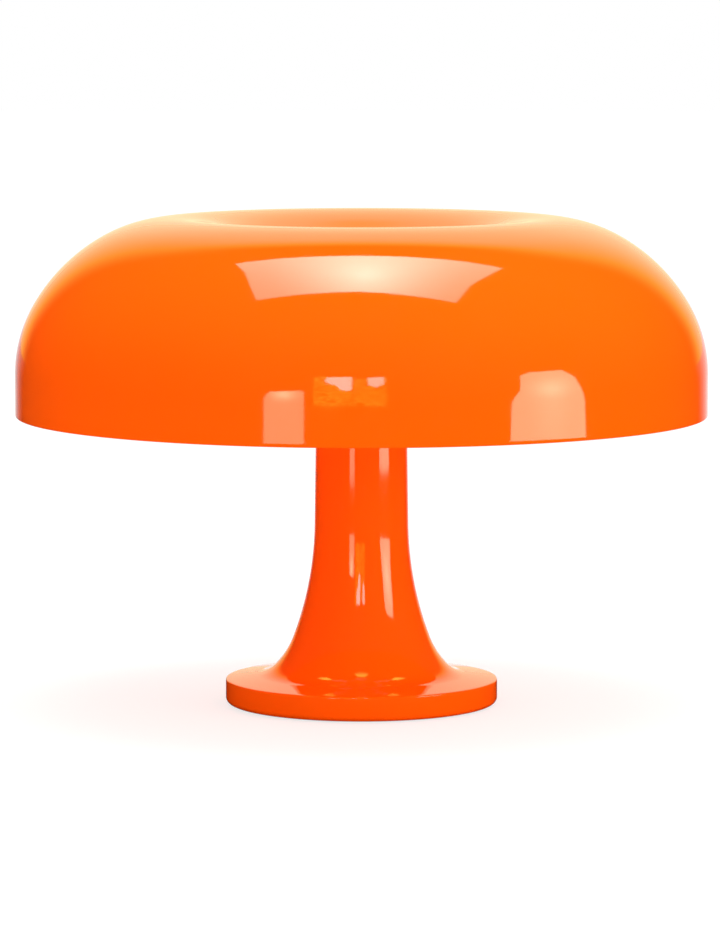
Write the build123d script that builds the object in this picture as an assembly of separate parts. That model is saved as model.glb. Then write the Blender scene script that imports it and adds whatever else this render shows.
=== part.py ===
from build123d import *
import os
from math import cos, radians, sin, sqrt, tan

# Mushroom table lamp with a dished shade: two glossy mouldings, the shade and the column with its
# foot, round a hub that carries four radial bulbs. Millimetres, +Z up, origin at the centre of the
# foot's underside. A turn is (radius, degrees) and is tangent to what comes before and after it.

# Shade
shade_radius = 160.0
shade_wall = 2.8
rim_height = 19.1                                # straight wall above the rim
rim_edge = 0.8                                   # rounding of the rim's two edges
shoulder_turns = ((64.0, 30.0), (84.0, 31.0), (68.0, 29.0))  # straight wall to crest
dish_turn = (70.0, 22.0)                         # crest to the dish's side
dish_side = 20.0                                 # straight part of the dish's side
dish_floor_radius = 50.0                         # of the turn into the dish's floor
hub_ring_wall = 2.7
hub_ring_height = 22.77
gusset_count = 8
gusset_length = 13.0
gusset_thickness = 2.0
gusset_step = 3.0                                # ring's end below the gusset
gusset_root = 1.0                                # gusset's lower end past the ring

# Column and foot
column_radius = 20.95                            # at the top of the column
column_top = 148.0
column_draft = 0.8                               # degrees
column_wall = 3.0
column_lid = 4.0                                 # closed top of the column
flare_turns = ((155.0, 20.0), (38.0, 22.5))      # column to flare
flare_foot_radius = 15.6                         # flare to the foot's top
foot_radius = 63.1
foot_height = 11.8                               # at the foot's rim
foot_slope = 7.5                                 # degrees, rise of the foot's top
foot_top_edge = 0.7
foot_bottom_edge = 2.6
foot_lift = 0.5                                  # the moulding stands this far above the felt's face

# Foot's inside
felt_thickness = 1.6
felt_width = 9.5
felt_inset = 2.3                                 # from the cover's rim
cover_thickness = 1.6
cover_clearance = 0.3
cover_screw_circle = 42.5                        # radius
cover_screw_count = 3
cover_screw_start = 30.0                         # degrees from +X
boss_radius = 4.0
ballast_radius = 37.0
ballast_bore = 9.0                               # radius
ballast_height = 36.0
ballast_clearance = 1.0

# Screws: metric 3, countersunk
screw_radius = 1.5
screw_hole = 1.6                                 # radius
screw_run = 0.5                                  # hole past the screw's end
screw_tip = 0.5                                  # chamfer
screw_head = 2.75                                # radius
screw_drive = (3.4, 0.7, 1.0)                    # length, width and depth of each slot
head_clearance = 0.1
cover_screw_length = 8.0
cap_screw_length = 11.0
block_screw_length = 14.0

# Cord inlet in the back of the foot
cord_bore = 2.6                                  # radius
bush_radius = 3.4
bush_clearance = 0.1
bush_flange = (4.3, 1.2)                         # radius, thickness
bush_seat = 0.1

# Threaded tubes and their nuts: metric 10
tube_radius = 5.0
tube_bore = 3.8                                  # radius
tube_clearance = 0.2
nut_width = 14.0                                 # across flats
nut_height = 4.0
washer_radius = 9.0
washer_thickness = 1.0
thread_clearance = 0.05
tube_spare = 1.5                                 # tube past its nut

# Hub that carries the lampholders, and its cap
hub_width = 34.0
hub_height = 32.0
hub_wall = 2.0
hub_corner = 5.0
hub_post_radius = 2.8
hub_post_inset = 4.0                             # from each of the corner's two sides
cap_plate = 3.0
cap_plug = 2.0
cap_clearance = 0.2
cap_wall = 2.5
spigot_radius = 13.0
spigot_height = 12.0
spigot_clearance = 0.3
spigot_edge = 1.5                                # chamfer
seat_ring_thickness = 1.0
seat_ring_width = 2.0
seat_gap = 0.2
block_height = 7.0
block_corner = 1.5
block_clearance = 2.0                            # to the lampholders' nuts
block_screw_post = 3.6                           # radius
terminal_screw = (1.6, 1.5)                      # radius, length
terminal_slot = (0.5, 0.4)                       # width, depth
terminal_sink = 0.4                              # screw's end below the block's side
terminal_clearance = 0.1

# Lampholders, in length along their axis from the hub's face
holder_count = 4
holder_radius = 11.5
holder_length = 30.0
holder_neck = (7.6, 4.5)                         # radius, length
holder_cone = 5.5                                # neck to body
holder_divider = (8.0, 2.5)                      # place, thickness
holder_edge = 1.2
holder_groove = (1.6, 0.5)                       # width, depth
groove_insets = (3.0, 6.0)                       # from the cone, from the mouth
nipple_hold = 0.5                                # tube past the neck
shell_wall = 0.5
shell_length = 16.0
shell_start = 12.5
shell_clearance = 0.1
contact_width = 4.5
contact_strip = 0.4                              # thickness
contact_foot = 3.0                               # length on the divider
contact_arm = 2.5                                # sideways length of the rising part
contact_flat = 2.4                               # length where the bulb presses
contact_rise = 3.4
lead_radius = 0.9
lead_spread = 3.6                                # between the two leads of a holder
lead_bend = 4.0
lead_clearance = 0.2
lead_socket = 2.0                                # depth in the block
lead_end_gap = 0.3                               # to the divider

# Bulbs: small screw caps and 45 mm balls
cap_radius = 6.9
cap_fit = 0.25                                   # radial room in the thread shell
cap_length = 15.5
cap_edge = 1.6                                   # chamfer
collar = (8.6, 4.5)                              # radius, length
collar_flare = 1.5                               # length of the cone from cap to collar
collar_depth = 2.5                               # of the glass in the collar
insulator_height = 2.4
insulator_seat = (1.0, 0.3)                      # wider and higher than the button
insulator_inset = 0.2                            # from the cap's chamfer
button = (2.4, 1.2)                              # radius, thickness
button_edge = 0.5
tip_gap = 0.2
ball_radius = 22.5
ball_shoulder = 40.0                             # degrees, where the neck meets the ball
neck_heading = 12.0                              # degrees, where the neck leaves the collar
neck_radius = 8.0
neck_clearance = 0.05                            # radial
neck_gap = 0.2                                   # glass to the collar's floor
glass_wall = 1.0

# Cuts run this far past a face, and sizes this close count as equal
overcut = 1.0
near = 0.01


def run(start, heading, steps):
    """Edges of a path in the plane: a step is a length, or a turn (radius, degrees), + to the left."""
    edges, point = [], Vector(*start)
    for step in steps:
        toward = Vector(cos(radians(heading)), sin(radians(heading)))
        if isinstance(step, tuple):
            radius, angle = step
            edge = JernArc(point, toward, radius, angle)
            heading += angle
        else:
            edge = Line(point, point + toward * step)
        edges.append(edge)
        point = edge @ 1
    return edges, point, heading


def aside(point, heading, distance):
    """The point a distance to the left of a heading."""
    turn = radians(heading + 90)
    return point[0] + distance * cos(turn), point[1] + distance * sin(turn)


def beside(steps, distance):
    """The steps of the path that runs a distance to the left of a path."""
    moved = []
    for step in steps:
        if isinstance(step, tuple):
            radius, angle = step
            step = (radius - distance if angle > 0 else radius + distance, angle)
        moved.append(step)
    return moved


def reach(turns, start_angle):
    """Sideways and lengthwise travel of turns that start at an angle from the length."""
    across, along = 0.0, 0.0
    for radius, angle in turns:
        first, last = radians(start_angle), radians(start_angle + angle)
        across += radius * (cos(first) - cos(last))
        along += radius * (sin(last) - sin(first))
        start_angle += angle
    return across, along


def closed(edges, corners):
    """Face between a path's edges and the straight corners that lead from its end to its start."""
    line = Polyline(edges[-1] @ 1, *corners, edges[0] @ 0)
    return make_face(list(edges) + list(line.edges()))


def turned_z(face):
    """Solid turned about Z from a face drawn as (radius, height)."""
    return revolve(Plane.XZ * face, Axis.Z)


def turned_x(face):
    """Solid turned about X from a face drawn as (length, radius)."""
    return revolve(face, Axis.X)


def tube(outer, inner, low, high):
    """Upright ring between two heights."""
    height = high - low
    ring = Cylinder(outer, height) - Cylinder(inner, 2 * height)
    return Pos(0, 0, (low + high) / 2) * ring


def rod(radius, low, high):
    """Upright round bar between two heights."""
    return Pos(0, 0, (low + high) / 2) * Cylinder(radius, high - low)


def along_x(solid):
    """Lays an upright solid along +X."""
    return Rot(0, 90, 0) * solid


def around(solid, count, start=0.0):
    """Equal copies of a solid about Z."""
    return [Rot(0, 0, start + 360 * i / count) * solid for i in range(count)]


def countersunk(length):
    """Countersunk screw that points up, with its head's face at height 0."""
    cone = screw_head - screw_radius
    outline = Polyline((0, 0), (screw_head, 0), (screw_radius, cone), (screw_radius, length - screw_tip),
                       (screw_radius - screw_tip, length), (0, length), (0, 0))
    slot_length, slot_width, slot_depth = screw_drive
    slots = Box(slot_length, slot_width, slot_depth) + Box(slot_width, slot_length, slot_depth)
    return turned_z(make_face(outline)) - Pos(0, 0, slot_depth / 2) * slots


def screw_seat(length):
    """Countersunk hole for such a screw."""
    head = screw_head + head_clearance
    outline = Polyline((0, -overcut), (head, -overcut), (head, 0), (screw_hole, head - screw_hole),
                       (screw_hole, length), (0, length), (0, -overcut))
    return turned_z(make_face(outline))


# Heights of the stack that carries the shade
hub_top = column_top + hub_height
hub_middle = column_top + hub_height / 2
cap_top = hub_top + cap_plate
ring_top = cap_top + seat_ring_thickness
shade_seat = ring_top + seat_gap
spigot_top = cap_top + spigot_height
spigot_bore = spigot_radius + spigot_clearance
hub_ring_radius = spigot_bore + hub_ring_wall
dish_underside = shade_seat + hub_ring_height
cover_low = felt_thickness
cover_top = cover_low + cover_thickness


# --- Shade ---

def make_shade():
    """Shell between the outer path and its parallel, with a ring and gussets under the dish's floor."""
    shoulder_in, shoulder_rise = reach(shoulder_turns, 0)
    turn_radius, turn_angle = dish_turn
    turns_radius = turn_radius + dish_floor_radius
    lean = radians(turn_angle)
    dish_in = turns_radius * sin(lean) + dish_side * cos(lean)
    dish_depth = turns_radius * (1 - cos(lean)) + dish_side * sin(lean)
    floor_radius = shade_radius - shoulder_in - dish_in
    crest = dish_underside + shade_wall + dish_depth
    rim = crest - shoulder_rise - rim_height
    floor_turn = (dish_floor_radius, -turn_angle)
    steps = [rim_height, *shoulder_turns, dish_turn, dish_side, floor_turn, floor_radius]
    outer, outer_end, _ = run((shade_radius, rim), 90, steps)
    inner, inner_end, _ = run((shade_radius - shade_wall, rim), 90, beside(steps, shade_wall))
    wall = make_face([*outer, Line(outer_end, inner_end), *inner, Line(inner[0] @ 0, outer[0] @ 0)])
    shade = turned_z(wall)
    shade = fillet(shade.edges().group_by(Axis.Z)[0], rim_edge)
    shade += tube(hub_ring_radius, spigot_bore, shade_seat, dish_underside + shade_wall / 2)
    low = shade_seat + gusset_step
    high = dish_underside + shade_wall / 2
    start = hub_ring_radius - hub_ring_wall / 2
    end = hub_ring_radius + gusset_length
    gusset = make_face(Polyline((start, low), (hub_ring_radius + gusset_root, low), (end, dish_underside),
                                (end, high), (start, high), (start, low)))
    gusset = extrude(Plane.XZ * gusset, gusset_thickness / 2, both=True)
    for rib in around(gusset, gusset_count, 180 / gusset_count):
        shade += rib
    return shade, rim, crest


# --- Column and foot ---

foot_turn = 90 - column_draft - foot_slope - sum(angle for _, angle in flare_turns)
flare = [*flare_turns, (flare_foot_radius, foot_turn)]


def column_path(inset):
    """Path down the column and out over the foot, a distance inside its surface."""
    draft, slope = tan(radians(column_draft)), tan(radians(foot_slope))
    flare_out, flare_down = reach(flare, column_draft)
    out, down = foot_radius - column_radius, column_top - foot_height
    slope_out = (out - flare_out - draft * (down - flare_down)) / (1 - draft * slope)
    draft_down = down - flare_down - slope_out * slope
    steps = [draft_down / cos(radians(column_draft)), *flare, slope_out / cos(radians(foot_slope))]
    heading = column_draft - 90
    start = aside((column_radius, column_top), heading, -inset)
    return run(start, heading, beside(steps, -inset))


def column_solid(inset, low, top):
    """Column and foot as one full solid, a distance inside the surface and cut off at a top."""
    edges, end, _ = column_path(inset)
    side = foot_radius - inset
    rise = (end.X - side) * tan(radians(foot_slope))
    face = closed(edges, [(side, end.Y + rise), (side, low), (0, low), (0, (edges[0] @ 0).Y)])
    solid = turned_z(face)
    return solid - rod(2 * foot_radius, top, column_top + foot_radius)


def side_rims(solid):
    """Level round edges at the foot's full radius, lowest first."""
    level = [edge for edge in solid.edges() if edge.bounding_box().size.Z < near]
    rims = [edge for edge in level if edge.bounding_box().max.X > foot_radius - near]
    return ShapeList(rims).sort_by(Axis.Z)


def make_column_foot():
    """Moulding that is open below, with a closed top, screw bosses and the cord's hole."""
    outer = column_solid(0, foot_lift, column_top)
    outer = fillet(side_rims(outer)[0], foot_bottom_edge)
    outer = fillet(side_rims(outer)[-1], foot_top_edge)
    cavity = column_solid(column_wall, -overcut, column_top - column_lid)
    boss = Pos(cover_screw_circle, 0, 0) * rod(boss_radius, cover_top, column_top)
    hole = Pos(cover_screw_circle, 0, 0) * rod(screw_hole, 0, cover_low + cover_screw_length + screw_run)
    body = outer - cavity
    for turned in around(boss, cover_screw_count, cover_screw_start):
        body += turned & cavity
    for turned in around(hole, cover_screw_count, cover_screw_start):
        body -= turned
    body -= rod(tube_radius + tube_clearance, column_top - 2 * column_lid, column_top + overcut)
    inlet = Cylinder(bush_radius + bush_clearance, 2 * column_wall + overcut)
    return body - Pos(0, foot_radius, cord_height) * Rot(90, 0, 0) * inlet


# The cord's inlet is halfway between the cover and the foot's top wall
foot_slant = radians(foot_slope)
foot_inner_top = foot_height - column_wall / cos(foot_slant) + column_wall * tan(foot_slant)
cord_height = (cover_top + foot_inner_top) / 2
cover_radius = foot_radius - column_wall - cover_clearance


def make_base_cover():
    """Steel disc with countersunk holes."""
    cover = rod(cover_radius, cover_low, cover_top)
    seat = Pos(cover_screw_circle, 0, cover_low) * screw_seat(cover_thickness + overcut)
    for turned in around(seat, cover_screw_count, cover_screw_start):
        cover -= turned
    return cover


def make_cover_screws():
    screw = Pos(cover_screw_circle, 0, cover_low) * countersunk(cover_screw_length)
    return around(screw, cover_screw_count, cover_screw_start)


def make_foot_felt():
    outside = cover_radius - felt_inset
    return tube(outside, outside - felt_width, 0, felt_thickness)


def make_ballast():
    """Iron casting that follows the inside of the flare."""
    block = column_solid(column_wall + ballast_clearance, cover_top, cover_top + ballast_height)
    return block & tube(ballast_radius, ballast_bore, cover_top, cover_top + ballast_height)


def make_cord_bush():
    """Bush with a flange outside the foot, its axis along Y."""
    flange_radius, flange = bush_flange
    inner_end = foot_radius - column_wall + bush_seat
    flange_start = foot_radius + bush_seat
    flange_end = flange_start + flange
    bush = rod(bush_radius, inner_end, flange_start) + rod(flange_radius, flange_start, flange_end)
    bush = fillet(bush.edges().sort_by(Axis.Z)[-1], flange / 2)
    bush -= rod(cord_bore, inner_end - overcut, flange_end + overcut)
    return Pos(0, 0, cord_height) * Rot(-90, 0, 0) * bush


# --- Stem: the threaded tube that clamps the hub to the column ---

stem_low = column_top - column_lid - washer_thickness - nut_height - tube_spare
stem_high = column_top + hub_wall + washer_thickness + nut_height + tube_spare
washer_lows = (column_top - column_lid - washer_thickness, column_top + hub_wall)
nut_lows = (washer_lows[0] - nut_height, washer_lows[1] + washer_thickness)


def make_nut(low):
    """Hexagon nut with chamfered corners and a plain hole."""
    nut = extrude(RegularPolygon(nut_width / 2, 6, major_radius=False), nut_height)
    flat, corner, edge = nut_width / 2, nut_width / sqrt(3), nut_height / 4
    crown = Polyline((0, 0), (flat, 0), (corner, edge), (corner, nut_height - edge), (flat, nut_height),
                     (0, nut_height), (0, 0))
    nut &= turned_z(make_face(crown))
    nut -= rod(tube_radius + thread_clearance, -overcut, nut_height + overcut)
    return Pos(0, 0, low) * nut


def make_stem_washers():
    hole = tube_radius + tube_clearance
    return [tube(washer_radius, hole, low, low + washer_thickness) for low in washer_lows]


# --- Hub ---

def square(width, corner, low, high):
    """Upright square block with rounded corners."""
    block = extrude(RectangleRounded(width, width, corner), high - low)
    return Pos(0, 0, low) * block


def posts(solid):
    """A solid at two opposite corners of the hub."""
    place = hub_width / 2 - hub_post_inset
    return [Pos(side * place, side * place, 0) * solid for side in (-1, 1)]


plug_low = hub_top - cap_plug
inside_width = hub_width - 2 * hub_wall
inside_corner = hub_corner - hub_wall


def make_lamp_hub():
    """Open box with a hole in its floor, one in each side, and two screw posts in its corners."""
    hub = square(hub_width, hub_corner, column_top, hub_top)
    hub -= square(inside_width, inside_corner, column_top + hub_wall, hub_top + overcut)
    for post in posts(rod(hub_post_radius, column_top + hub_wall, plug_low)):
        hub += post & square(hub_width - hub_wall, hub_corner, column_top, hub_top)
    for hole in posts(rod(screw_hole, plug_low - cap_screw_length, hub_top)):
        hub -= hole
    hole = tube_radius + tube_clearance
    hub -= rod(hole, column_top - overcut, column_top + hub_wall + overcut)
    side_hole = Pos(0, 0, hub_middle) * along_x(rod(hole, inside_width / 2 - overcut, hub_width))
    for turned in around(side_hole, holder_count):
        hub -= turned
    return hub


def make_hub_cap():
    """Lid with a plug below and a hollow spigot above, which has a screw post inside."""
    spigot = rod(spigot_radius, cap_top - cap_plate, spigot_top)
    spigot = chamfer(spigot.edges().sort_by(Axis.Z)[-1], spigot_edge)
    cap = square(hub_width, hub_corner, hub_top, cap_top) + spigot
    cap += square(inside_width - 2 * cap_clearance, inside_corner, plug_low, hub_top)
    cap -= rod(spigot_radius - cap_wall, plug_low - overcut, spigot_top - cap_wall)
    cap += rod(block_screw_post, plug_low, spigot_top - cap_wall / 2)
    cap -= rod(screw_hole, plug_low - overcut, block_low + block_screw_length + screw_run)
    seat = Pos(0, 0, cap_top) * Rot(180, 0, 0) * screw_seat(cap_plate + cap_plug + overcut)
    for turned in posts(seat):
        cap -= turned
    return cap


def make_cap_screws():
    return posts(Pos(0, 0, cap_top) * Rot(180, 0, 0) * countersunk(cap_screw_length))


def make_seat_ring():
    return tube(spigot_bore + seat_ring_width, spigot_bore, cap_top, ring_top)


nipple_start = -hub_wall - nut_height - tube_spare
nipple_end = holder_neck[1] + nipple_hold
block_width = inside_width - 2 * (nut_height + block_clearance)
block_low = plug_low - seat_gap - block_height
lead_place = hub_width / 2 + nipple_start - lead_bend


def at_block_sides(solid):
    """A solid drawn upwards out of a face, on each side of the terminal block."""
    return around(Pos(block_width / 2, 0, block_low + block_height / 2) * along_x(solid), holder_count)


def make_terminal_block():
    """Square block with a screw hole, an access hole for each clamp screw and lead holes below."""
    block = square(block_width, block_corner, block_low, block_low + block_height)
    block -= Pos(0, 0, block_low) * screw_seat(block_height + overcut)
    radius, length = terminal_screw
    depth = terminal_sink + length + terminal_clearance
    for hole in at_block_sides(rod(radius + terminal_clearance, -depth, overcut)):
        block -= hole
    for spread in (-lead_spread / 2, lead_spread / 2):
        socket = rod(lead_radius + lead_clearance, -overcut, lead_socket)
        for turned in around(Pos(lead_place, spread, block_low) * socket, holder_count):
            block -= turned
    return block


def make_terminal_screws():
    """Slotted clamp screws, one in each side of the block."""
    radius, length = terminal_screw
    slot_width, slot_depth = terminal_slot
    slot = Box(2 * radius + overcut, slot_width, 2 * slot_depth)
    screw = rod(radius, -terminal_sink - length, -terminal_sink) - Pos(0, 0, -terminal_sink) * slot
    return at_block_sides(screw)


def make_block_screw():
    return Pos(0, 0, block_low) * countersunk(block_screw_length)


# --- Lampholders, drawn along +X from the hub's face ---

divider_start, divider_thickness = holder_divider
divider_end = divider_start + divider_thickness
shell_inner = cap_radius + cap_fit
shell_outer = shell_inner + shell_wall
bulb_seat = divider_end + contact_strip + contact_rise + tip_gap


def placed(solid, index=0):
    """A solid drawn from the hub's face, at one of the holders."""
    return Rot(0, 0, 360 * index / holder_count) * Pos(hub_width / 2, 0, hub_middle) * solid


def make_holder_nipple():
    return along_x(tube(tube_radius, tube_bore, nipple_start, nipple_end))


def make_lampholder():
    """Moulded cup: a neck on the tube, a cone, two grooves, a divider and the mouth."""
    neck, neck_length = holder_neck
    cone_end = neck_length + holder_cone
    width, depth = holder_groove
    outline = [(0, 0), (0, neck), (neck_length, neck), (cone_end, holder_radius)]
    for start in (cone_end + groove_insets[0], holder_length - groove_insets[1]):
        outline += [(start, holder_radius), (start + depth, holder_radius - depth),
                    (start + width - depth, holder_radius - depth), (start + width, holder_radius)]
    outline += [(holder_length - holder_edge, holder_radius), (holder_length, holder_radius - holder_edge),
                (holder_length, 0), (0, 0)]
    body = turned_x(make_face(Polyline(*outline)))
    body -= along_x(rod(tube_radius + thread_clearance, -overcut, divider_start))
    body -= along_x(rod(shell_outer + shell_clearance, divider_end, holder_length + overcut))
    return body


def make_thread_shell():
    return along_x(tube(shell_outer, shell_inner, shell_start, shell_start + shell_length))


def make_center_contact():
    """Bent spring strip: a foot on the divider, a rising arm and a flat where the bulb presses."""
    low, high = divider_end, divider_end + contact_strip + contact_rise
    end, start = contact_flat / 2, -contact_flat / 2
    bend = start - contact_arm
    foot = bend - contact_foot
    slant = contact_strip / 2
    line = Polyline((low, foot), (low, bend), (high - contact_strip, start), (high - contact_strip, end),
                    (high, end), (high, start - slant), (low + contact_strip, bend + slant),
                    (low + contact_strip, foot), (low, foot))
    return extrude(make_face(line), contact_width / 2, both=True)


def make_holder_leads():
    """Two leads from the block's underside down and out through each threaded tube."""
    inside = lead_place - hub_width / 2
    drop = block_low - hub_middle
    end = divider_start - lead_end_gap
    path = FilletPolyline((inside, 0, drop), (inside, 0, 0), (end, 0, 0), radius=lead_bend)
    lead = sweep(Plane(path @ 0, z_dir=path % 0) * Circle(lead_radius), path=path)
    leads = [Pos(0, spread, 0) * lead for spread in (-lead_spread / 2, lead_spread / 2)]
    return [placed(one, index) for index in range(holder_count) for one in leads]


# --- Bulbs, drawn along +X from the hub's face ---

cap_start = bulb_seat + button[1] + insulator_height
thread_end = cap_start + cap_length
collar_end = thread_end + collar[1]
collar_floor = collar_end - collar_depth


def make_bulb_cap():
    """Metal screw cap: rounded rim below, plain wall for the thread, and a collar for the glass."""
    collar_radius = collar[0]
    outline = Polyline((cap_start, 0), (cap_start, cap_radius - cap_edge),
                       (cap_start + cap_edge, cap_radius), (thread_end, cap_radius),
                       (thread_end + collar_flare, collar_radius), (collar_end, collar_radius),
                       (collar_end, neck_radius + neck_clearance),
                       (collar_floor, neck_radius + neck_clearance), (collar_floor, 0), (cap_start, 0))
    return turned_x(make_face(outline))


def make_bulb_tip():
    """Glass insulator cone and the round contact at its end."""
    button_radius, button_height = button
    seat_wider, seat_higher = insulator_seat
    low = bulb_seat + button_height
    outline = Polyline((bulb_seat, 0), (bulb_seat, button_radius - button_edge),
                       (bulb_seat + button_edge, button_radius), (low, button_radius),
                       (low + seat_higher, button_radius + seat_wider),
                       (cap_start, cap_radius - cap_edge - insulator_inset), (cap_start, 0), (bulb_seat, 0))
    return turned_x(make_face(outline))


def make_bulb_glass():
    """Hollow ball with a neck that swings out from the collar to the ball's shoulder."""
    start = collar_floor + neck_gap
    first, last = radians(neck_heading), radians(ball_shoulder)
    swing = (ball_radius * cos(last) - neck_radius) / (cos(first) - cos(last))
    turns = [(swing, ball_shoulder - neck_heading), (ball_radius, -(90 + ball_shoulder))]
    outer, outer_end, _ = run((collar_end, neck_radius), neck_heading, turns)
    inner_start = aside((collar_end, neck_radius), neck_heading, -glass_wall)
    inner, inner_end, _ = run(inner_start, neck_heading, beside(turns, -glass_wall))
    bottom = Polyline(outer[0] @ 0, (start, neck_radius), (start, neck_radius - glass_wall), inner[0] @ 0)
    face = make_face([*outer, Line(outer_end, inner_end), *inner, *bottom.edges()])
    return turned_x(face)


def save(name, shape):
    """Writes one named piece, or a group of separate solids."""
    solids = shape if isinstance(shape, list) else [shape]
    solids = [one for shape in solids for one in shape.solids()]
    result = solids[0] if len(solids) == 1 else Compound(children=solids)
    export_step(result, f"parts/{name}.step")


def main():
    os.makedirs("parts", exist_ok=True)
    shade, rim, crest = make_shade()
    print(f"rim {rim:.2f} crest {crest:.2f} bulb end {hub_width / 2 + collar_end:.2f}")
    save("shade", shade)
    save("column_foot", make_column_foot())
    save("base_cover", make_base_cover())
    save("cover_screws", make_cover_screws())
    save("foot_felt", make_foot_felt())
    save("ballast", make_ballast())
    save("cord_bush", make_cord_bush())
    save("stem_nipple", tube(tube_radius, tube_bore, stem_low, stem_high))
    save("stem_washers", make_stem_washers())
    save("stem_nuts", [make_nut(low) for low in nut_lows])
    save("lamp_hub", make_lamp_hub())
    save("hub_cap", make_hub_cap())
    save("cap_screws", make_cap_screws())
    save("seat_ring", make_seat_ring())
    save("terminal_block", make_terminal_block())
    save("terminal_screws", make_terminal_screws())
    save("block_screw", make_block_screw())
    save("holder_leads", make_holder_leads())
    nut = along_x(make_nut(-hub_wall - nut_height))
    save("holder_nuts", [placed(nut, index) for index in range(holder_count)])
    per_holder = {"holder_nipple": make_holder_nipple(), "lampholder": make_lampholder(),
                  "thread_shell": make_thread_shell(), "center_contact": make_center_contact(),
                  "bulb_cap": make_bulb_cap(), "bulb_tip": make_bulb_tip(), "bulb_glass": make_bulb_glass()}
    for name, piece in per_holder.items():
        for index in range(holder_count):
            save(f"{name}_{index + 1}", placed(piece, index))


main()
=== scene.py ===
import math

import bmesh
import bpy
import numpy as np
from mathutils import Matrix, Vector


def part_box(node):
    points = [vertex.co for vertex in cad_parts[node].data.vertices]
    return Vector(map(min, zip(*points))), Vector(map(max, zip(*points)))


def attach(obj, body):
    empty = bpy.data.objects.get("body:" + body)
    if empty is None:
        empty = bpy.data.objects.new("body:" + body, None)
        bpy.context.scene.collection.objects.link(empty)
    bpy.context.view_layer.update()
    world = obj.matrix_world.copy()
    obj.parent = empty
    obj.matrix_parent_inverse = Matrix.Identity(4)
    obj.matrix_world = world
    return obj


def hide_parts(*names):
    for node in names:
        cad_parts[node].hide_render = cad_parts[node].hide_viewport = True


# Glossy orange mushroom lamp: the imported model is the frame, the surfaces here are its finish.
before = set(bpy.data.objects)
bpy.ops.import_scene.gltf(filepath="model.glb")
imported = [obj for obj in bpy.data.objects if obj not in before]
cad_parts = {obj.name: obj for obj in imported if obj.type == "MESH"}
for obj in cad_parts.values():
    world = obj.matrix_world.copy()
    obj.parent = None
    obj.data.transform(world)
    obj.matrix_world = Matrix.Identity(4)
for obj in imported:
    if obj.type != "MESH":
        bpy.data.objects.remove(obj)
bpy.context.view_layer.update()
print("frame loaded")

mm = 0.001
holderCount = 4
cornerShare = 0.45  # a soft corner takes at most this share of each of its sides
mergeDistance = 0.0001 * mm  # points closer than this become one
sliverLength = 0.00001 * mm  # and edges shorter than this go
scene = bpy.context.scene


def toLinear(hexColour):  # sRGB hex to linear red, green, blue, alpha
    parts = [int(hexColour[i:i + 2], 16) / 255 for i in (1, 3, 5)]
    return tuple(c / 12.92 if c <= 0.04045 else ((c + 0.055) / 1.055) ** 2.4 for c in parts) + (1.0,)


# A node with its settings, and the values or links of its inputs by their names.
def addNode(tree, kind, inputs=None, **settings):
    node = tree.nodes.new("ShaderNode" + kind)
    for name, value in settings.items():
        setattr(node, name, value)
    for name, value in (inputs or {}).items():
        if isinstance(value, bpy.types.NodeSocket):
            tree.links.new(value, node.inputs[name])
        else:
            node.inputs[name].default_value = value
    return node


def emptyMaterial(name):  # a material with only an output node
    material = bpy.data.materials.new(name)
    material.use_nodes = True
    material.node_tree.nodes.clear()
    return material, material.node_tree, addNode(material.node_tree, "OutputMaterial")


# Position runs along a path that starts at a point with a heading in degrees; a step is a length, or a
# turn (radius, degrees), positive to the left, whose points lie at the turn's centre plus its radius
# times the unit vector that swings through the turn.
def pathPoints(start, heading, steps, arcStep=2.0, lineStep=2 * mm):
    point, angle, rows = np.array(start, float), math.radians(heading), []
    rows.append(point[None])
    for step in steps:
        if isinstance(step, tuple):
            radius, turn = step[0], math.radians(step[1])
            side = math.copysign(1, turn)
            swing = angle + np.linspace(0, turn, max(2, int(abs(step[1]) / arcStep) + 1))[1:]
            centre = point + side * radius * np.array([-math.sin(angle), math.cos(angle)])
            piece = centre + side * radius * np.stack([np.sin(swing), -np.cos(swing)], 1)
            angle += turn
        else:
            along = np.linspace(0, step, max(1, int(step / lineStep)) + 1)[1:, None]
            piece = point + along * np.array([math.cos(angle), math.sin(angle)])
        rows.append(piece)
        point = piece[-1]
    return np.concatenate(rows)


def beside(steps, distance):  # the steps of the path a distance to the left
    return [(s[0] - distance * math.copysign(1, s[1]), s[1]) if isinstance(s, tuple) else s for s in steps]


def aside(point, heading, distance):  # the point a distance to the left of a heading in degrees
    turn = math.radians(heading + 90)
    return np.array([point[0] + distance * math.cos(turn), point[1] + distance * math.sin(turn)])


# Each corner of a closed or open outline is cut back by a size and bridged by a quadratic curve that
# starts and ends on its two sides: (1-t)^2 A + 2t(1-t) corner + t^2 B.
def softCorners(points, size, count=4, closed=False):
    points = np.asarray(points, float)
    before, after = np.roll(points, 1, 0), np.roll(points, -1, 0)
    lead, leave = before - points, after - points
    leadLength, leaveLength = np.linalg.norm(lead, axis=1), np.linalg.norm(leave, axis=1)
    cut = np.minimum(size, cornerShare * np.minimum(leadLength, leaveLength))
    if not closed:
        cut[0] = cut[-1] = 0
    first = points + lead / np.maximum(leadLength, 1e-12)[:, None] * cut[:, None]
    last = points + leave / np.maximum(leaveLength, 1e-12)[:, None] * cut[:, None]
    t = np.linspace(0, 1, count)[None, :, None]
    curve = (1 - t) ** 2 * first[:, None] + 2 * t * (1 - t) * points[:, None] + t ** 2 * last[:, None]
    rows = curve.reshape(-1, points.shape[1])
    keep = np.r_[True, np.linalg.norm(np.diff(rows, axis=0), axis=1) > 1e-9]
    return rows[keep]


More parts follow.
